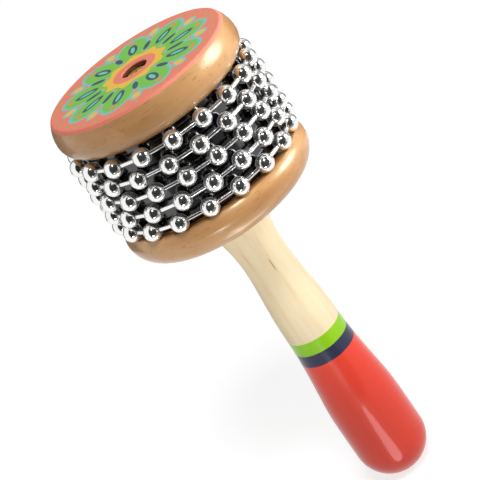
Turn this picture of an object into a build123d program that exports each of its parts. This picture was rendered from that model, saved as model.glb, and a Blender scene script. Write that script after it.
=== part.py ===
from build123d import *

import math
import os

# Toy cabasa: a turned wooden spool on a handle, with loops of ball chain loose round its steel sleeve.
# The axis of turning is Z, with the head up. The origin is on that axis, in the middle of the grip.
# All lengths are in millimetres and all angles in degrees.

# Wooden discs of the head, each with two arcs that meet at its widest circle
disc_edge_round = 0.8
top_disc_overhang = 5.2
top_disc_thickness = 12.85
top_disc_shoulder = 2.3
top_disc_undercut = 4.5
top_disc_widest_share = 0.54
lower_disc_overhang = 5.6
lower_disc_thickness = 12.3
lower_disc_shoulder = 1.8
lower_disc_undercut = 8.0
lower_disc_widest_share = 0.34

# Ball chain
loop_count = 5
balls_per_loop = 18
ball_diameter = 6.35
ball_wall = 0.45
link_diameter = 1.4
link_head_diameter = 2.4
link_head_thickness = 0.6
link_clearance = 0.1
row_gap = 0.1
loop_clearance = 0.3
first_ball_angles = [5.0, 15.5, 0.0, 10.0, 0.75]

# Steel sleeve and the wooden core that it wraps
sleeve_radius = 29.8
sleeve_wall = 0.4
sleeve_seam_width = 0.8
sleeve_end_clearance = 0.1
core_clearance = 0.05

# Screw that pulls the head on to the handle
screw_recess_radius = 4.9
screw_head_depth = 0.8
screw_head_radius = 3.9
screw_head_height = 2.8
screw_head_crown = 0.9
screw_shank_radius = 2.5
screw_grip_in_handle = 18.0
screw_point_length = 4.0
screw_clearance = 0.2
pilot_clearance = 0.05
driver_slot_length = 4.4
driver_slot_width = 1.0
driver_slot_depth = 1.5
washer_radius = 4.6
washer_thickness = 0.8

# Handle, with drops measured down from the lower disc
handle_length = 122.0
grip_height = 61.0
tenon_radius = 7.0
tenon_in_core = 12.0
tenon_clearance = 0.05
tenon_end_gap = 0.3
shoulder_radius = 12.5
shoulder_slope = 0.3
neck_radius = 8.5
neck_drop = 21.0
grip_radius = 9.93
grip_drop = 44.1
middle_radius = 10.6
middle_drop = 62.5
swell_radius = 12.45
swell_drop = 81.5
butt_radius = 13.36
side_spans = 24

# Heights that follow from these
butt_z = -grip_height
head_z = butt_z + handle_length
chain_bottom_z = head_z + lower_disc_thickness
ball_radius = ball_diameter / 2
row_pitch = ball_diameter + row_gap
chain_height = loop_count * row_pitch + row_gap
chain_top_z = chain_bottom_z + chain_height
top_z = chain_top_z + top_disc_thickness

# Radii that follow
top_disc_radius = sleeve_radius + top_disc_overhang
lower_disc_radius = sleeve_radius + lower_disc_overhang
ball_path_radius = sleeve_radius + loop_clearance + ball_radius
step_angle = 360 / balls_per_loop
half_step = math.radians(step_angle / 2)
link_pitch = 2 * ball_path_radius * math.sin(half_step)
ball_bore_radius = ball_radius - ball_wall
ball_hole_radius = link_diameter / 2 + link_clearance
link_head_radius = link_head_diameter / 2

# Screw sizes that follow
screw_recess_depth = screw_head_depth + screw_head_height + washer_thickness
screw_seat_z = top_z - screw_recess_depth
screw_hole_radius = screw_shank_radius + screw_clearance
tenon_top_z = chain_bottom_z + tenon_in_core
screw_tip_z = tenon_top_z - screw_grip_in_handle


def revolved(outline):
    """Solid turned about Z from a closed outline drawn in the XZ plane."""
    return revolve(make_face(outline), Axis.Z)


STANDING = (Align.CENTER, Align.CENTER, Align.MIN)
HANGING = (Align.CENTER, Align.CENTER, Align.MAX)


def drilled(radius, low_z, high_z):
    """Round bar on the Z axis between two heights."""
    return Pos(0, 0, low_z) * Cylinder(radius, high_z - low_z, align=STANDING)


def disc_blank(high_z, radius, thickness, shoulder, undercut, widest_share):
    """Wooden disc whose rim is two arcs, upright where they meet."""
    low_z = high_z - thickness
    face_radius = radius - shoulder
    foot_radius = radius - undercut
    widest = (radius, 0, high_z - thickness * widest_share)
    outline = [
        Polyline((foot_radius, 0, low_z), (0, 0, low_z), (0, 0, high_z), (face_radius, 0, high_z)),
        TangentArc(widest, (face_radius, 0, high_z), tangent=(0, 0, 1)),
        TangentArc(widest, (foot_radius, 0, low_z), tangent=(0, 0, -1)),
    ]
    blank = revolved(outline)
    upper_edge = blank.edges().filter_by(GeomType.CIRCLE).sort_by(Axis.Z)[-1]
    return fillet(upper_edge, disc_edge_round)


def top_disc():
    """Upper disc, with the recess and hole for the screw."""
    disc = disc_blank(
        top_z,
        top_disc_radius,
        top_disc_thickness,
        top_disc_shoulder,
        top_disc_undercut,
        top_disc_widest_share,
    )
    disc -= drilled(screw_hole_radius, chain_top_z, top_z)
    return disc - drilled(screw_recess_radius, screw_seat_z, top_z)


def lower_disc():
    """Lower disc, bored through for the handle's tenon."""
    disc = disc_blank(
        chain_bottom_z,
        lower_disc_radius,
        lower_disc_thickness,
        lower_disc_shoulder,
        lower_disc_undercut,
        lower_disc_widest_share,
    )
    return disc - drilled(tenon_radius + tenon_clearance, head_z, chain_bottom_z)


def core():
    """Wooden core between the discs, socketed for the tenon and drilled for the screw."""
    body = drilled(sleeve_radius - sleeve_wall - core_clearance, chain_bottom_z, chain_top_z)
    body -= drilled(tenon_radius + tenon_clearance, chain_bottom_z, tenon_top_z + tenon_end_gap)
    return body - drilled(screw_hole_radius, chain_bottom_z, chain_top_z)


def sleeve():
    """Steel sheet rolled round the core, with its butted seam at the back."""
    low_z = chain_bottom_z + sleeve_end_clearance
    high_z = chain_top_z - sleeve_end_clearance
    tube = drilled(sleeve_radius, low_z, high_z) - drilled(sleeve_radius - sleeve_wall, low_z, high_z)
    seam = Pos(0, sleeve_radius, low_z) * Box(
        sleeve_seam_width, sleeve_radius, high_z - low_z, align=STANDING
    )
    return tube - seam


def washer():
    """Flat washer under the screw's head."""
    high_z = screw_seat_z + washer_thickness
    return drilled(washer_radius, screw_seat_z, high_z) - drilled(screw_hole_radius, screw_seat_z, high_z)


def screw():
    """Pan-head screw with a crossed driver recess, its thread left plain."""
    seat_z = screw_seat_z + washer_thickness
    crown_z = seat_z + screw_head_height
    side_z = crown_z - screw_head_crown
    point_z = screw_tip_z + screw_point_length
    outline = [
        Polyline(
            (0, 0, crown_z),
            (0, 0, screw_tip_z),
            (screw_shank_radius, 0, point_z),
            (screw_shank_radius, 0, seat_z),
            (screw_head_radius, 0, seat_z),
            (screw_head_radius, 0, side_z),
        ),
        TangentArc((0, 0, crown_z), (screw_head_radius, 0, side_z), tangent=(1, 0, 0)),
    ]
    body = revolved(outline)
    slot = Box(driver_slot_length, driver_slot_width, driver_slot_depth, align=HANGING)
    for turn in (0, 90):
        body -= Pos(0, 0, crown_z) * Rot(0, 0, turn) * slot
    return body


def handle():
    """Turned handle: tenon, flared shoulder, thin neck, swelling grip and rounded butt."""
    butt_start_z = butt_z + butt_radius
    side = Spline(
        (shoulder_radius, 0, head_z),
        (neck_radius, 0, head_z - neck_drop),
        (grip_radius, 0, head_z - grip_drop),
        (middle_radius, 0, head_z - middle_drop),
        (swell_radius, 0, head_z - swell_drop),
        (butt_radius, 0, butt_start_z),
        tangents=[(-shoulder_slope, 0, -1), (0, 0, -1)],
    )
    # One curve, cut into short spans, so that every face of the side is narrow and its facets stay true
    spans = [side.trim(i / side_spans, (i + 1) / side_spans) for i in range(side_spans)]
    butt = TangentArc((butt_radius, 0, butt_start_z), (0, 0, butt_z), tangent=(0, 0, -1))
    outline = [
        Polyline(
            (0, 0, butt_z),
            (0, 0, tenon_top_z),
            (tenon_radius, 0, tenon_top_z),
            (tenon_radius, 0, head_z),
            (shoulder_radius, 0, head_z),
        ),
        *spans,
        butt,
    ]
    turned = revolved(outline)
    pilot_radius = screw_shank_radius + pilot_clearance
    point_z = screw_tip_z + screw_point_length
    pilot = drilled(pilot_radius, point_z, tenon_top_z)
    pilot += Pos(0, 0, point_z) * Rot(180, 0, 0) * Cone(
        pilot_radius,
        pilot_clearance,
        screw_point_length + pilot_clearance,
        align=STANDING,
    )
    return turned - pilot


def hollow_ball():
    """One chain ball at the start of its ring, pierced along the two links that it holds."""
    ball = Sphere(ball_radius) - Sphere(ball_bore_radius)
    for side in (1, -1):
        along_link = Plane(
            (0, 0, 0), x_dir=(0, 0, 1), z_dir=(-math.sin(half_step), side * math.cos(half_step), 0)
        )
        ball -= along_link * Cylinder(ball_hole_radius, ball_diameter, align=STANDING)
    return Pos(ball_path_radius, 0, 0) * ball


def closing_ball():
    """Ball with a keyhole slot, through which the last link's head is slipped to close the loop."""
    entry_radius = link_head_radius + link_clearance
    entry = Rot(0, 90, 0) * Cylinder(entry_radius, ball_diameter, align=STANDING)
    slot = Box(
        ball_diameter, ball_diameter, 2 * ball_hole_radius, align=(Align.MIN, Align.MIN, Align.CENTER)
    )
    return hollow_ball() - Pos(ball_path_radius, 0, 0) * (entry + slot)


def link():
    """Headed pin from the first ball of a ring to the next, its heads inside the balls."""
    head_far = math.sqrt((ball_bore_radius - link_clearance) ** 2 - link_head_radius**2)
    half_length = link_pitch / 2 - head_far + link_head_thickness
    pin = Cylinder(link_diameter / 2, 2 * half_length)
    for side in (1, -1):
        pin += Pos(0, 0, side * (half_length - link_head_thickness / 2)) * Cylinder(
            link_head_radius, link_head_thickness
        )
    chord_radius = ball_path_radius * math.cos(half_step)
    return Rot(0, 0, step_angle / 2) * Pos(chord_radius, 0, 0) * Rot(90, 0, 0) * pin


def ring_of(shape, angles, height):
    """Copies of a shape turned about the axis to the given angles, at one height."""
    return [Pos(0, 0, height) * Rot(0, 0, angle) * shape for angle in angles]


def chain_loop(number):
    """Nodes of one closed loop of chain, numbered from the top."""
    height = chain_top_z - row_gap - ball_radius - (number - 1) * row_pitch
    start = first_ball_angles[(number - 1) % len(first_ball_angles)]
    angles = [start + step_angle * index for index in range(balls_per_loop)]
    closing = min(range(balls_per_loop), key=lambda index: abs((angles[index] - 90 + 180) % 360 - 180))
    plain = [angle for index, angle in enumerate(angles) if index != closing]
    return {
        f"chain_{number}_balls": Compound(children=ring_of(hollow_ball(), plain, height)),
        f"chain_{number}_links": Compound(children=ring_of(link(), angles, height)),
        f"chain_{number}_closing_ball": ring_of(closing_ball(), [angles[closing]], height)[0],
    }


def all_nodes():
    """Every named piece of the cabasa."""
    nodes = {
        "handle": handle(),
        "lower_disc": lower_disc(),
        "core": core(),
        "sleeve": sleeve(),
        "top_disc": top_disc(),
        "washer": washer(),
        "screw": screw(),
    }
    for number in range(1, loop_count + 1):
        nodes.update(chain_loop(number))
    return nodes


os.makedirs("parts", exist_ok=True)
for name, shape in all_nodes().items():
    export_step(shape, f"parts/{name}.step")
print(f"height {top_z - butt_z:.1f}, head from {head_z:.1f} to {top_z:.1f}, link pitch {link_pitch:.2f}")
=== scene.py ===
# %% [markdown]
# A child's cabasa, finished in Blender. The pieces come ready made from the CAD model, at their real
# size in metres. They could be modelled again here, but then two models would have to agree, so this
# lesson only dresses them: varnished wood, paint, chrome ball chain, a studio and a camera. The axis
# of turning is Z, the painted face is up, and the origin is in the middle of the grip.

# %% Load the construction
import math

import bmesh
import bpy
from mathutils import Matrix, Vector


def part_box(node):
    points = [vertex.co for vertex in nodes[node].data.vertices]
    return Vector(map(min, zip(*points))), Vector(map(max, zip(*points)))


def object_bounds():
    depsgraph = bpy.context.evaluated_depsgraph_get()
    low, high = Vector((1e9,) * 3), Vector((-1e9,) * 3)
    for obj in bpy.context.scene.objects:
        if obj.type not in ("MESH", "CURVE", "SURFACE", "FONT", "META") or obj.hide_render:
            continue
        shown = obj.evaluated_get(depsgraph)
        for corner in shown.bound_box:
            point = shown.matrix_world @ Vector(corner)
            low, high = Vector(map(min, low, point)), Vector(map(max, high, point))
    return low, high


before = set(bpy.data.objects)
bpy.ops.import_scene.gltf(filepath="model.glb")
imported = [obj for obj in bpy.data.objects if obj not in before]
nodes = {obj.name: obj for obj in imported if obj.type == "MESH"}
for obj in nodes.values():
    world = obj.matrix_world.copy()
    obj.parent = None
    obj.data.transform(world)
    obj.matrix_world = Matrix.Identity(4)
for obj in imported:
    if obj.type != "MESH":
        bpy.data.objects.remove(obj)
construction_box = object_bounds()

# %% [markdown]
# The photographer stood a little above the painted face, with a long lens, and the handle runs from
# the upper left to the lower right of the frame. The object could be tilted to do that, but its frame
# is shared with the CAD model. So it stands upright, and the camera is rolled.

# %% Camera
VIEW_PLACE = (-0.0036, -0.5941, 0.2951)
VIEW_ELEVATION = math.radians(22.6)
VIEW_ROLL = math.radians(-34.88)
LENS_MM = 142.5
SENSOR_MM = 36.0
NEAREST = 0.01

camera_data = bpy.data.cameras.new("camera")
camera_data.lens = LENS_MM
camera_data.sensor_width = SENSOR_MM
camera_data.clip_start = NEAREST
camera = bpy.data.objects.new("camera", camera_data)
tilt = Matrix.Rotation(math.pi / 2 - VIEW_ELEVATION, 4, "X")
roll = Matrix.Rotation(VIEW_ROLL, 4, "Z")
camera.matrix_world = Matrix.Translation(VIEW_PLACE) @ tilt @ roll
bpy.context.scene.collection.objects.link(camera)
bpy.context.scene.camera = camera
print("camera at", VIEW_PLACE)

# %% [markdown]
# Every finish below is a small network of shader nodes. It could be drawn by hand in the editor. In a
# script each node takes several lines that look alike, so a few helpers take them up: one adds a node,
# one feeds a socket, and the others do the steps that come again and again.


# %% Node helpers
def srgb(red, green, blue):
    """Colour as a screen shows it, from 0 to 255, as the linear values that a shader wants."""
    def linear(value):
        value /= 255
        return value / 12.92 if value <= 0.04045 else ((value + 0.055) / 1.055) ** 2.4

    return (linear(red), linear(green), linear(blue), 1.0)


class NodeTools:
    """A tree of nodes and the short commands that build it."""

    def __init__(self, owner):
        owner.use_nodes = True
        self.tree = owner.node_tree

    def node(self, kind, **settings):
        made = self.tree.nodes.new("ShaderNode" + kind)
        for key, value in settings.items():
            setattr(made, key, value)
        return made

    def feed(self, socket, value):
        """Sets a socket, or links it if the value is another socket."""
        if isinstance(value, bpy.types.NodeSocket):
            self.tree.links.new(value, socket)
        else:
            socket.default_value = value

    def math(self, operation, *values):
        made = self.node("Math", operation=operation)
        for socket, value in zip(made.inputs, values):
            self.feed(socket, value)
        return made.outputs[0]

    def fade(self, value, low, high, to_low=0.0, to_high=1.0):
        """Smooth ramp from to_low at low to to_high at high."""
        made = self.node("MapRange", interpolation_type="SMOOTHSTEP")
        for socket, number in zip(made.inputs, (value, low, high, to_low, to_high)):
            self.feed(socket, number)
        return made.outputs[0]

    def below(self, value, edge, blur):
        """1 where a value is below an edge and 0 above it, with a soft step between."""
        return self.fade(value, edge - blur, edge + blur, 1.0, 0.0)

    def mix(self, factor, first, second):
        """Mix of two colours, whose sockets come after those for numbers and vectors."""
        made = self.node("Mix", data_type="RGBA")
        self.feed(made.inputs[0], factor)
        self.feed(made.inputs[6], first)
        self.feed(made.inputs[7], second)
        return made.outputs[2]


print("middle grey in linear light", round(srgb(128, 128, 128)[0], 3))

# %% [markdown]
# A finish is a material with its shader and its patterns. A pattern could follow a UV map, which has
# to be unwrapped for every piece, or Object coordinates, which are simply places in metres. Object
# coordinates were chosen, because then grain runs through a piece as it does through solid wood.

# %% Finish helpers
NOISE_MIDDLE = 0.5


class Finish(NodeTools):
    """One material, with its shader and the patterns that feed it."""

    def __init__(self, name):
        self.material = bpy.data.materials.new(name)
        super().__init__(self.material)
        self.shader = self.tree.nodes["Principled BSDF"]
        self.object = self.node("TexCoord").outputs["Object"]

    def noise(self, scale, detail=2.0, roughness=0.5, place=None):
        made = self.node("TexNoise")
        self.feed(made.inputs["Vector"], self.object if place is None else place)
        made.inputs["Scale"].default_value = scale
        made.inputs["Detail"].default_value = detail
        made.inputs["Roughness"].default_value = roughness
        return made.outputs[0]

    def grain(self, stretch, detail=2.0, roughness=0.5):
        """Noise with a scale for each axis, so that it runs along one of them."""
        made = self.node("Mapping")
        self.feed(made.inputs["Vector"], self.object)
        made.inputs["Scale"].default_value = stretch
        return self.noise(1.0, detail, roughness, made.outputs[0])

    def split(self):
        """The place of a point, as its three coordinates."""
        made = self.node("SeparateXYZ")
        self.feed(made.inputs[0], self.object)
        return made.outputs

    def bump(self, height, strength, distance, socket="Normal"):
        """Relief from a height, on the shader's normal or on its coat's."""
        made = self.node("Bump")
        made.inputs["Strength"].default_value = strength
        made.inputs["Distance"].default_value = distance
        self.feed(made.inputs["Height"], height)
        self.feed(self.shader.inputs[socket], made.outputs[0])

    def set(self, **inputs):
        for name, value in inputs.items():
            self.feed(self.shader.inputs[name.replace("_", " ")], value)

    def put_on(self, *names):
        for name in names:
            nodes[name].material_slots[0].material = self.material


print("pieces to dress", sorted(nodes))

# %% [markdown]
# The discs are honey coloured hardwood. Wood of this kind is quiet: soft broad bands along the grain and
# many short dark flecks, which are its open pores. A picture of a board could be wrapped on, but it
# would smear round the rim. Noise that is stretched along the board, which lay across the axis, is right
# on every side.

# %% Honey wood
WOOD_HONEY = srgb(202, 148, 94)
WOOD_DARK = srgb(180, 124, 72)
WOOD_PALE = srgb(218, 170, 116)
FLECK_BROWN = srgb(140, 92, 50)
BAND_STRETCH = (18, 90, 150)
BAND_RANGE = (0.35, 0.7)
PALE_STRETCH = (10, 25, 30)
PALE_RANGE = (0.45, 0.75)
PALE_MOST = 0.6
FLECK_STRETCH = (140, 800, 1500)
FLECK_RANGE = (0.62, 0.74)
FLECK_MOST = 0.45
PORE_STRENGTH = 0.15
PORE_DEPTH = 0.0002


def honey_wood(finish):
    """Colour of the honey wood, with its flecks pressed in a little."""
    bands = finish.fade(finish.grain(BAND_STRETCH, detail=3.0), *BAND_RANGE)
    colour = finish.mix(bands, WOOD_HONEY, WOOD_DARK)
    pale = finish.fade(finish.grain(PALE_STRETCH), *PALE_RANGE, 0.0, PALE_MOST)
    colour = finish.mix(pale, colour, WOOD_PALE)
    flecks = finish.grain(FLECK_STRETCH, detail=1.0)
    fleck = finish.fade(flecks, *FLECK_RANGE, 0.0, FLECK_MOST)
    finish.bump(finish.math("MULTIPLY", fleck, -1.0), PORE_STRENGTH, PORE_DEPTH)
    return finish.mix(fleck, colour, FLECK_BROWN)


disc_finish = Finish("varnished_wood")
disc_finish.set(Base_Color=honey_wood(disc_finish))
print("honey wood, flecks up to", FLECK_MOST)

# %% [markdown]
# A thick clear varnish lies on the wood. It could be a thin shell of its own, but the shader's clear
# coat looks the same and adds no piece. The gloss is a little uneven, where the brush and the hands
# left it so.

# %% Varnish
SMEAR_SCALE = 140.0
SMEAR_RANGE = (0.3, 0.7)
SMEAR_ROUGHNESS = (0.37, 0.47)
VARNISH_TINT = (1.0, 0.93, 0.6, 1.0)
VARNISH_GLOSS = 0.14


def varnish_roughness(finish):
    """Roughness of the varnish from place to place."""
    smears = finish.noise(SMEAR_SCALE, detail=3.0)
    return finish.fade(smears, *SMEAR_RANGE, *SMEAR_ROUGHNESS)


disc_finish.set(
    Roughness=varnish_roughness(disc_finish),
    Specular_IOR_Level=0.9,
    Specular_Tint=VARNISH_TINT,
    Coat_Weight=0.5,
    Coat_Roughness=VARNISH_GLOSS,
)
disc_finish.put_on("lower_disc")
print("varnished wood on the lower disc")

# %% [markdown]
# The top disc is the same wood with coral paint on its flat face, which also covers the crisp edge. A
# rosette is printed on it: round petals, buds, beads and a scalloped ring. It could be a picture, but a
# picture blurs from close by. Here it is drawn from the angle and the radius of a point, so that one
# petal, repeated round the axis, makes the whole. A little wobble on the radius keeps it from looking
# drawn by machine.

# %% Places on the painted face
MM = 0.001
FACE_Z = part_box("top_disc")[1][2]
WOBBLE_SCALE = 260.0
WOBBLE_MM = 0.5

face_finish = Finish("painted_face_wood")
face_math = face_finish.math
x, y, z = face_finish.split()
wobble = face_finish.noise(WOBBLE_SCALE, detail=1.0)
wobble = face_math("MULTIPLY", face_math("SUBTRACT", wobble, NOISE_MIDDLE), WOBBLE_MM)
square = face_math("ADD", face_math("POWER", x, 2.0), face_math("POWER", y, 2.0))
radius = face_math("MULTIPLY", face_math("SQRT", square), 1 / MM)
drawn_radius = face_math("ADD", radius, wobble)
angle = face_math("ARCTAN2", y, x)
print("painted face at", FACE_Z)

# %% [markdown]
# Two shapes are enough for the rosette: an oval that points away from the axis, and a round patch about
# it. Each could be a mesh laid on the face, which would stand proud of it. As masks, 1 inside and 0
# outside, they lie in the paint itself, with edges as soft as ink on wood.

# %% Shapes of the rosette
OVAL_BLUR = 0.1
PATCH_BLUR_MM = 0.15


def repeated(count, turn=0.0):
    """Steps out and across, in millimetres, of a point within its own share of the turn."""
    half_share = math.pi / count
    step = face_math("WRAP", face_math("ADD", angle, turn), half_share, -half_share)
    along = face_math("MULTIPLY", drawn_radius, face_math("COSINE", step))
    across = face_math("MULTIPLY", drawn_radius, face_math("SINE", step))
    return along, across


def oval(place, middle, half_length, half_width):
    """Mask of an oval that points away from the axis."""
    along, across = place
    out = face_math("DIVIDE", face_math("SUBTRACT", along, middle), half_length)
    aside = face_math("DIVIDE", across, half_width)
    size = face_math("ADD", face_math("POWER", out, 2.0), face_math("POWER", aside, 2.0))
    return face_finish.below(size, 1.0, OVAL_BLUR)


def patch(radius_socket, edge):
    """Mask of all that lies nearer to the axis than an edge."""
    return face_finish.below(radius_socket, edge, PATCH_BLUR_MM)


print("soft edges of", PATCH_BLUR_MM, "mm")

# %% [markdown]
# Printers lay one ink over the last, and so does this chain of mixes. All the shapes could go into one
# large formula. One row for each ink is easier to read and to change: the mask of its shape, with the
# distance out, the half length and the half width in millimetres, and then its colour.

# %% Inks of the rosette
CORAL = srgb(242, 137, 116)
GREEN_INK = srgb(122, 200, 84)
AQUA_INK = srgb(118, 206, 196)
YELLOW_INK = srgb(246, 196, 76)
NAVY_INK = srgb(54, 84, 104)
PETALS = 9
SCALLOP_MM = 0.9

petal = repeated(PETALS)
bud = repeated(PETALS, math.pi / PETALS)
bead = repeated(4 * PETALS)
scallop = face_math("COSINE", face_math("MULTIPLY", angle, PETALS))
scallop_radius = face_math("SUBTRACT", radius, face_math("MULTIPLY", scallop, SCALLOP_MM))
inks = [
    (oval(bud, 25.2, 3.0, 2.4), AQUA_INK),
    (oval(bud, 25.2, 2.1, 1.5), YELLOW_INK),
    (oval(petal, 19.2, 9.4, 6.6), AQUA_INK),
    (oval(petal, 18.9, 8.3, 5.7), GREEN_INK),
    (oval(bud, 16.0, 3.2, 1.1), NAVY_INK),
    (oval(petal, 18.6, 4.6, 1.9), NAVY_INK),
    (oval(petal, 18.6, 2.9, 0.8), AQUA_INK),
    (oval(petal, 25.0, 1.0, 1.5), CORAL),
    (patch(scallop_radius, 12.4), GREEN_INK),
    (patch(scallop_radius, 11.4), YELLOW_INK),
    (patch(drawn_radius, 8.2), CORAL),
    (oval(bead, 30.4, 0.55, 0.55), GREEN_INK),
]
paint = CORAL
for mask, ink in inks:
    paint = face_finish.mix(mask, paint, ink)
print("petals", PETALS, "inks", len(inks))

# %% [markdown]
# Paint, wood and recess meet on one disc. They could be three materials on three sets of faces, but the
# paint ends a little below the crisp edge, where the mesh has no line. So one finish chooses by depth
# below the face: paint above, varnished wood below, and dark brown in the screw's recess. That brown is
# partly the end grain and paint inside the hole and partly painted shade for the depth of the recess.
# Fine pale specks stand for wear.

# %% Paint on the top disc
INK_WEAR = srgb(255, 225, 205)
WEAR_SCALE = 2500.0
WEAR_RANGE = (0.55, 0.8)
WEAR_MOST = 0.15
PAINT_EDGE_MM = 1.0
PAINT_BLUR_MM = 0.12
# Dark brown of the recess: partly end grain and paint in the hole, partly painted shade for its depth.
RECESS_BROWN_AND_SHADE = srgb(84, 34, 24)
RECESS_RADIUS_MM = 5.1
RECESS_DEPTHS_MM = (0.2, 0.6)

wear = face_finish.fade(face_finish.noise(WEAR_SCALE), *WEAR_RANGE, 0.0, WEAR_MOST)
paint = face_finish.mix(wear, paint, INK_WEAR)
depth = face_math("MULTIPLY", face_math("SUBTRACT", FACE_Z, z), 1 / MM)
painted = face_finish.below(depth, PAINT_EDGE_MM, PAINT_BLUR_MM)
deep = face_finish.fade(depth, *RECESS_DEPTHS_MM)
# Where the recess takes its dark brown, which is partly painted shade and grows with depth.
in_shaded_recess = face_math("MULTIPLY", patch(radius, RECESS_RADIUS_MM), deep)
colour = face_finish.mix(painted, honey_wood(face_finish), paint)
face_finish.set(
    Base_Color=face_finish.mix(in_shaded_recess, colour, RECESS_BROWN_AND_SHADE),
    Roughness=face_finish.fade(painted, 0.0, 1.0, varnish_roughness(face_finish), 0.7),
    Specular_IOR_Level=0.6,
    Specular_Tint=VARNISH_TINT,
    Coat_Weight=face_finish.fade(painted, 0.0, 1.0, 0.6, 0.0),
    Coat_Roughness=VARNISH_GLOSS,
)
face_finish.put_on("top_disc")
print("paint down to", FACE_Z - PAINT_EDGE_MM * MM)

# %% [markdown]
# The handle is turned from pale wood, with a fine straight grain along its length, a few darker streaks
# and one small mark on the neck. A wave texture could draw the grain, but its lines are too even.
# Noise that is stretched along the handle has lines that start and stop, as grain does.

# %% Bare wood of the handle
CREAM = srgb(231, 214, 178)
CREAM_DARK = srgb(224, 199, 158)
GRAIN_STRETCH = (420, 420, 9)
GRAIN_RANGE = (0.42, 0.8)
STREAK = srgb(150, 122, 80)
STREAK_STRETCH = (260, 260, 18)
STREAK_RANGE = (0.74, 0.82)
STREAK_MOST = 0.4
MARK_PLACE = (0.0006, -0.0092, 0.0372)
MARK_HALF = (0.0003, 0.003, 0.0032)
MARK_RANGE = (0.2, 1.2)
MARK_MOST = 0.7

handle_finish = Finish("handle_paint_and_wood")
handle_math = handle_finish.math
grain = handle_finish.grain(GRAIN_STRETCH, detail=4.0, roughness=0.6)
wood = handle_finish.mix(handle_finish.fade(grain, *GRAIN_RANGE), CREAM, CREAM_DARK)
streaks = handle_finish.grain(STREAK_STRETCH, detail=1.0)
streaks = handle_finish.fade(streaks, *STREAK_RANGE, 0.0, STREAK_MOST)
wood = handle_finish.mix(streaks, wood, STREAK)
place = handle_finish.split()
mark = 0.0
for socket, middle, half in zip(place, MARK_PLACE, MARK_HALF):
    step = handle_math("DIVIDE", handle_math("SUBTRACT", socket, middle), half)
    mark = handle_math("ADD", handle_math("POWER", step, 2.0), mark)
wood = handle_finish.mix(handle_finish.fade(mark, *MARK_RANGE, MARK_MOST, 0.0), wood, STREAK)
print("grain along the handle, mark at", MARK_PLACE)

# %% [markdown]
# The lower half of the handle is painted: a green band, a dark blue band and a red end. The bands could
# be cut into the mesh, but paint has no thickness to speak of, so they follow the height of a point. A
# brush never leaves a perfect line, so a little noise is added to the height before the bands are cut.

# %% Paint bands of the handle
BRUSH_SCALE = 90.0
BRUSH_MM = 0.35
BAND_BLUR_MM = 0.1
GREEN_TOP_MM = 5.8
NAVY_TOP_MM = 0.6
RED_TOP_MM = -4.2
BANDS = (
    (GREEN_TOP_MM, srgb(138, 196, 2)),
    (NAVY_TOP_MM, srgb(38, 42, 70)),
    (RED_TOP_MM, srgb(228, 64, 42)),
)

brush = handle_finish.noise(BRUSH_SCALE)
brush = handle_math("MULTIPLY", handle_math("SUBTRACT", brush, NOISE_MIDDLE), BRUSH_MM)
height = handle_math("ADD", handle_math("MULTIPLY", place["Z"], 1 / MM), brush)
colour = wood
for top, band in BANDS:
    colour = handle_finish.mix(handle_finish.below(height, top, BAND_BLUR_MM), colour, band)
in_paint = handle_finish.below(height, GREEN_TOP_MM, BAND_BLUR_MM)
handle_finish.set(Base_Color=colour)
print("bands at", GREEN_TOP_MM, NAVY_TOP_MM, RED_TOP_MM, "mm")

# %% [markdown]
# Bare wood is dull and feels of its grain, and gloss paint is smooth with shallow dimples from the brush.
# Two materials could show that, but one finish with a mask keeps the border between them as crisp as the
# paint. The grain presses into the surface below, and the dimples only into the clear coat.

# %% Gloss of the handle
BARE_RANGE = (0.35, 0.75)
BARE_ROUGHNESS = (0.4, 0.52)
PAINT_ROUGHNESS = 0.32
PAINT_COAT = 0.45
GRAIN_STRENGTH = 0.12
GRAIN_DEPTH = 0.0002
DIMPLE_STRETCH = (420, 420, 160)
DIMPLE_STRENGTH = 0.1
DIMPLE_DEPTH = 0.0004

handle_finish.bump(grain, GRAIN_STRENGTH, GRAIN_DEPTH)
dimples = handle_finish.grain(DIMPLE_STRETCH)
handle_finish.bump(dimples, DIMPLE_STRENGTH, DIMPLE_DEPTH, "Coat Normal")
bare_roughness = handle_finish.fade(grain, *BARE_RANGE, *BARE_ROUGHNESS)
handle_finish.set(
    Roughness=handle_finish.fade(in_paint, 0.0, 1.0, bare_roughness, PAINT_ROUGHNESS),
    Specular_IOR_Level=0.15,
    Coat_Weight=handle_finish.fade(in_paint, 0.0, 1.0, 0.0, PAINT_COAT),
    Coat_Roughness=0.09,
)
handle_finish.put_on("handle")
print("gloss on the paint", PAINT_COAT)

# %% [markdown]
# The chain is nickel-plated steel, polished until it mirrors the room. A pure mirror would be enough for
# new chain. Hands leave a thin film on it, and the shader's sheen stands for that film: it keeps the rim
# of each ball bright against the dark sleeve. Fine scuffs dull the polish from place to place.

# %% Chain
SCUFF_SCALE = 900.0
SCUFF_RANGE = (0.4, 0.75)
SCUFF_ROUGHNESS = (0.1, 0.18)

chain_finish = Finish("polished_chain")
scuffs = chain_finish.noise(SCUFF_SCALE, detail=4.0, roughness=0.65)
chain_finish.set(
    Base_Color=srgb(246, 246, 244),
    Metallic=0.97,
    Sheen_Weight=0.9,
    Sheen_Roughness=0.4,
    Roughness=chain_finish.fade(scuffs, *SCUFF_RANGE, *SCUFF_ROUGHNESS),
)
chain_nodes = [name for name in nodes if name.startswith("chain_")]
chain_finish.put_on(*chain_nodes)
print("polished metal on", len(chain_nodes), "nodes")

# %% [markdown]
# The sleeve that the chain rubs on is plain rolled sheet. Its colour is set dark, much darker than bare
# steel, as painted shade for the gaps between the balls. The rolls leave fine lines round it. They could
# be cut as grooves, but they are far thinner than a facet, so noise that is squeezed along the axis
# varies the roughness instead.

# %% Sleeve
ROLL_STRETCH = (30, 30, 6000)
ROLL_RANGE = (0.35, 0.7)
ROLL_ROUGHNESS = (0.08, 0.18)

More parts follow.
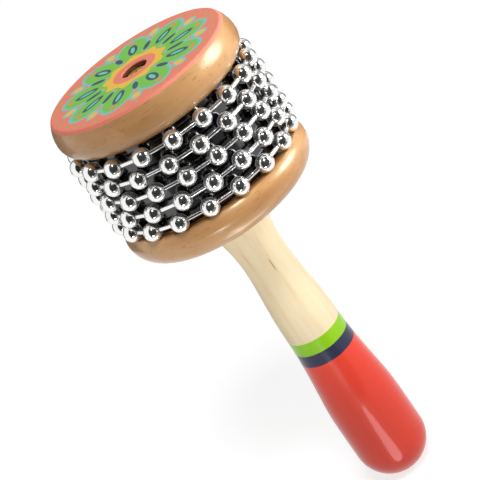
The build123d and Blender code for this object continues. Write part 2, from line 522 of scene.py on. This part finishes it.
sleeve_finish = Finish("rolled_sheet")
lines = sleeve_finish.grain(ROLL_STRETCH)
sleeve_finish.set(
    # Dark base colour: painted shade for the gaps between the balls, not the colour of the steel.
    Base_Color=srgb(88, 88, 90),
    Metallic=1.0,
    Roughness=sleeve_finish.fade(lines, *ROLL_RANGE, *ROLL_ROUGHNESS),
)
sleeve_finish.put_on("sleeve")
print("rolled sheet on the sleeve")

# %% [markdown]
# Down in the recess are a yellow zinc screw and a grey washer. One metal could serve for both, but zinc
# plate comes in both colours, and the yellow is what shows. Its tint and its polish change a little from
# place to place, as they do on plated parts.

# %% Screw and washer
ZINC_RANGE = (0.35, 0.7)
ZINC_YELLOW = srgb(246, 214, 132)
ZINC_DULL = srgb(214, 184, 116)
SCREW_SCALE = 600.0
SCREW_ROUGHNESS = (0.4, 0.5)
WASHER_SCALE = 900.0
WASHER_ROUGHNESS = (0.25, 0.45)

screw_finish = Finish("yellow_zinc")
tint = screw_finish.noise(SCREW_SCALE, detail=3.0)
screw_finish.set(
    Base_Color=screw_finish.mix(screw_finish.fade(tint, *ZINC_RANGE), ZINC_YELLOW, ZINC_DULL),
    Metallic=1.0,
    Roughness=screw_finish.fade(tint, *ZINC_RANGE, *SCREW_ROUGHNESS),
)
screw_finish.put_on("screw")

washer_finish = Finish("zinc_washer")
dull = washer_finish.noise(WASHER_SCALE, detail=3.0)
washer_finish.set(
    Base_Color=srgb(170, 168, 164),
    Metallic=1.0,
    Roughness=washer_finish.fade(dull, *ZINC_RANGE, *WASHER_ROUGHNESS),
)
washer_finish.put_on("washer")
print("zinc on the screw and the washer")

# %% [markdown]
# The core is hidden under the sleeve. It could stay as it came, but anyone who takes the model apart
# will see it, so it gets bare wood with broad rings.

# %% Core
RING_STRETCH = (60, 300, 30)
CORE_PALE = srgb(225, 190, 140)
CORE_DARK = srgb(190, 148, 96)

core_finish = Finish("bare_core_wood")
rings = core_finish.grain(RING_STRETCH, detail=3.0)
core_finish.set(Base_Color=core_finish.mix(rings, CORE_PALE, CORE_DARK), Roughness=0.6)
core_finish.put_on("core")
print("bare wood on the core")

# %% [markdown]
# The studio is made of flat panels: the floor, and later the cards. Each could be an object that is moved
# and turned into place. Here the place goes into the mesh, as it does in the pieces of the construction,
# so every object in the file sits at the origin.


# %% Panels of the studio
def stage_panel(name, shape, scale, place):
    """Flat panel of the studio, from a flat bmesh of unit size, with its place in its mesh."""
    bmesh.ops.scale(shape, vec=(*scale, 1.0), verts=shape.verts)
    bmesh.ops.transform(shape, matrix=place, verts=shape.verts)
    mesh = bpy.data.meshes.new(name)
    shape.to_mesh(mesh)
    shape.free()
    panel = bpy.data.objects.new(name, mesh)
    bpy.context.scene.collection.objects.link(panel)
    return panel


def square_shape():
    shape = bmesh.new()
    bmesh.ops.create_grid(shape, x_segments=1, y_segments=1, size=1.0)
    return shape


def round_shape():
    shape = bmesh.new()
    bmesh.ops.create_circle(shape, cap_ends=True, segments=48, radius=1.0)
    return shape


FLOOR_HALF = 4.0

floor_low = construction_box[0][2]
floor_place = Matrix.Translation((0, 0, floor_low))
floor = stage_panel("floor", square_shape(), (FLOOR_HALF, FLOOR_HALF), floor_place)
print("floor at", floor_low)

# %% [markdown]
# The floor is pale and takes a soft shadow. More light would make it white, but would bleach the object
# as well. So most of its white is its own glow, to the eye and in mirrors, with a little real light left
# in, and that part is what the shadow takes away.

# %% White floor
FLOOR_WHITE = 0.8
FLOOR_GLOW = 0.76
FLOOR_SHADED = 0.4


def grey(value):
    return (value, value, value, 1.0)


def seen_rays(tools):
    """Socket that is 1 on rays that show the background: seen, mirrored or through glass."""
    rays = tools.node("LightPath").outputs
    mirrored = tools.math("MAXIMUM", rays["Is Camera Ray"], rays["Is Glossy Ray"])
    return tools.math("MAXIMUM", mirrored, rays["Is Transmission Ray"])


floor_material = bpy.data.materials.new("white_floor")
tools = NodeTools(floor_material)
tools.tree.nodes.clear()
lit = tools.node("BsdfDiffuse")
lit.inputs["Color"].default_value = grey(FLOOR_WHITE)
shaded = tools.node("BsdfDiffuse")
shaded.inputs["Color"].default_value = grey(FLOOR_SHADED)
glow = tools.node("Emission")
glow.inputs["Strength"].default_value = FLOOR_GLOW
both = tools.node("AddShader")
choice = tools.node("MixShader")
output = tools.node("OutputMaterial")
tools.feed(both.inputs[0], shaded.outputs[0])
tools.feed(both.inputs[1], glow.outputs[0])
tools.feed(choice.inputs[0], seen_rays(tools))
tools.feed(choice.inputs[1], lit.outputs[0])
tools.feed(choice.inputs[2], both.outputs[0])
tools.feed(output.inputs[0], choice.outputs[0])
floor.data.materials.append(floor_material)
print("floor glow", FLOOR_GLOW, "and shade", FLOOR_SHADED)

# %% [markdown]
# The room is white as well. A white room that also lit the object would be simple, but the light would
# come from all sides and flatten it. So the room is white to the eye and in mirrors, and lights the
# object gently, which leaves the lamps to model its roundness.

# %% Room
AMBIENT = 0.27

world = bpy.data.worlds.new("studio")
bpy.context.scene.world = world
tools = NodeTools(world)
background = tools.tree.nodes["Background"]
background.inputs["Color"].default_value = grey(1.0)
strength = tools.fade(seen_rays(tools), 0.0, 1.0, AMBIENT, 1.0)
tools.feed(background.inputs["Strength"], strength)
print("room light", AMBIENT)

# %% [markdown]
# A soft box on the right gives the bright right side, and a wide sun, high at the front, gives the face
# its colour and the floor its shadow. A small lamp, low in front on the left, opens the shade on the
# neck and the grip. Each lamp could shine all round, but a narrow spread keeps it off the outlines.

# %% Soft box, sun and fill
HEAD_MIDDLE = (0, 0, 0.09)
KEY_PLACE = (0.36, -0.05, 0.18)
KEY_SIZE = (0.3, 0.2)
KEY_SPREAD = math.radians(50)
KEY_WATTS = 0.21
FILL_PLACE = (-0.08, -0.2, -0.045)
FILL_AIM = (0, 0, 0.03)
FILL_SIZE = 0.07
FILL_SPREAD = math.radians(30)
FILL_WATTS = 0.013
SKY_FROM = (0.13, -0.54, 0.83)
SKY_STRENGTH = 1.4
SKY_SPREAD = math.radians(15)


def lamp(name, kind, place, aim, energy):
    """Lamp at a place, facing a point, unseen by the camera."""
    data = bpy.data.lights.new(name, kind)
    data.energy = energy
    made = bpy.data.objects.new(name, data)
    made.location = place
    made.rotation_euler = (Vector(aim) - Vector(place)).to_track_quat("-Z", "Y").to_euler()
    made.visible_camera = False
    bpy.context.scene.collection.objects.link(made)
    return made


key = lamp("key", "AREA", KEY_PLACE, HEAD_MIDDLE, KEY_WATTS)
key.data.shape = "ELLIPSE"
key.data.size, key.data.size_y = KEY_SIZE
key.data.spread = KEY_SPREAD
fill = lamp("fill", "AREA", FILL_PLACE, FILL_AIM, FILL_WATTS)
fill.data.size = FILL_SIZE
fill.data.spread = FILL_SPREAD
sky = lamp("sky", "SUN", SKY_FROM, (0, 0, 0), SKY_STRENGTH)
sky.data.angle = SKY_SPREAD
print("key", KEY_WATTS, "W, fill", FILL_WATTS, "W, sky", SKY_STRENGTH)

# %% [markdown]
# The varnish of the lower disc has a bright line along its lower edge. Paint could fake it, but then it
# would stay in place when the view turns. A narrow strip just above the floor points straight up and
# makes the line as a reflection. It leaves the colours alone, because it only works on gloss.

# %% Strip under the lower disc
STRIP_LIFT = 0.002
STRIP_PLACE = (0.008, -0.045, floor_low + STRIP_LIFT)
STRIP_SIZE = (0.08, 0.012)
STRIP_SPREAD = math.radians(90)
STRIP_WATTS = 0.0065

straight_up = Vector(STRIP_PLACE) + Vector((0, 0, 1))
strip = lamp("strip", "AREA", STRIP_PLACE, straight_up, STRIP_WATTS)
strip.data.shape = "RECTANGLE"
strip.data.size, strip.data.size_y = STRIP_SIZE
strip.data.spread = STRIP_SPREAD
strip.visible_diffuse = False
print("strip", STRIP_WATTS, "W")

# %% [markdown]
# Chrome shows what stands round it, so its look is made by cards. A picture of a studio could surround
# the scene instead, but plain cards can be moved one by one. They are seen in mirrors alone and throw no
# shadow. A black card towards the camera gives every ball the dark heart that tells the eye it is a
# mirror, and a dark card behind draws a thin line round it.

# %% Dark cards
HEART_AWAY = 0.25
HEART_UP = 0.05
HEART_HALF = (0.28, 0.46)
HEART_GREY = 0.015
BACK_AWAY = 0.35
BACK_HALF = (0.5, 0.5)
BACK_GREY = 0.12


def mirror_card(name, shape, half, place, level):
    """Card of one grey that only mirrors see."""
    card = stage_panel(name, shape, half, place)
    material = bpy.data.materials.new(name)
    shader = NodeTools(material).tree.nodes["Principled BSDF"]
    shader.inputs["Base Color"].default_value = grey(0.0)
    shader.inputs["Specular IOR Level"].default_value = 0.0
    shader.inputs["Emission Color"].default_value = grey(level)
    shader.inputs["Emission Strength"].default_value = 1.0
    card.data.materials.append(material)
    card.visible_camera = False
    card.visible_shadow = False
    card.visible_diffuse = False


turn = camera.matrix_world.to_3x3()
facing = turn.to_4x4()
towards_camera = turn @ Vector((0, 0, 1))
up_in_frame = turn @ Vector((0, 1, 0))
middle = Vector(HEAD_MIDDLE)
heart = middle + towards_camera * HEART_AWAY + up_in_frame * HEART_UP
heart_place = Matrix.Translation(heart) @ facing
mirror_card("black_card", round_shape(), HEART_HALF, heart_place, HEART_GREY)
back_place = Matrix.Translation(middle - towards_camera * BACK_AWAY) @ facing
mirror_card("back_card", square_shape(), BACK_HALF, back_place, BACK_GREY)
print("dark cards", HEART_GREY, BACK_GREY)

# %% [markdown]
# Grey cards on the floor in front and on the right set the sides of the balls apart. A bright runner on
# the floor before the handle draws the long gloss on the red end. A lamp could draw it too, but a card
# lights nothing else.

# %% Grey cards and runner
FRONT_AWAY = 0.52
FRONT_HALF = (0.46, 0.38)
FRONT_GREY = 0.25
SIDE_AWAY = 0.95
SIDE_HALF = (0.8, 0.8)
SIDE_GREY = 0.45
RUNNER_PLACE = (-0.0145, -0.066)
RUNNER_HALF = (0.01, 0.05)
RUNNER_TURN = math.radians(-13)
RUNNER_GLOW = 6.0
JUST_ABOVE = 0.001

front_place = Matrix.Translation((0, -FRONT_AWAY, floor_low + JUST_ABOVE))
mirror_card("front_card", round_shape(), FRONT_HALF, front_place, FRONT_GREY)
runner_place = Matrix.Translation((*RUNNER_PLACE, floor_low + 2 * JUST_ABOVE))
runner_place = runner_place @ Matrix.Rotation(RUNNER_TURN, 4, "Z")
mirror_card("runner_card", round_shape(), RUNNER_HALF, runner_place, RUNNER_GLOW)
side_place = Matrix.Translation((SIDE_AWAY, 0, SIDE_HALF[1] + floor_low))
side_place = side_place @ Matrix.Rotation(math.pi / 2, 4, "Y")
mirror_card("side_card", square_shape(), SIDE_HALF, side_place, SIDE_GREY)
print("grey cards", FRONT_GREY, SIDE_GREY, "and runner", RUNNER_GLOW)

# %% [markdown]
# A filmic view could soften the bright places, but it would also grey the paint. Colours leave the shader
# as they are written, so the picture uses the plain Standard view.

# %% Finish
bpy.context.scene.view_settings.view_transform = "Standard"
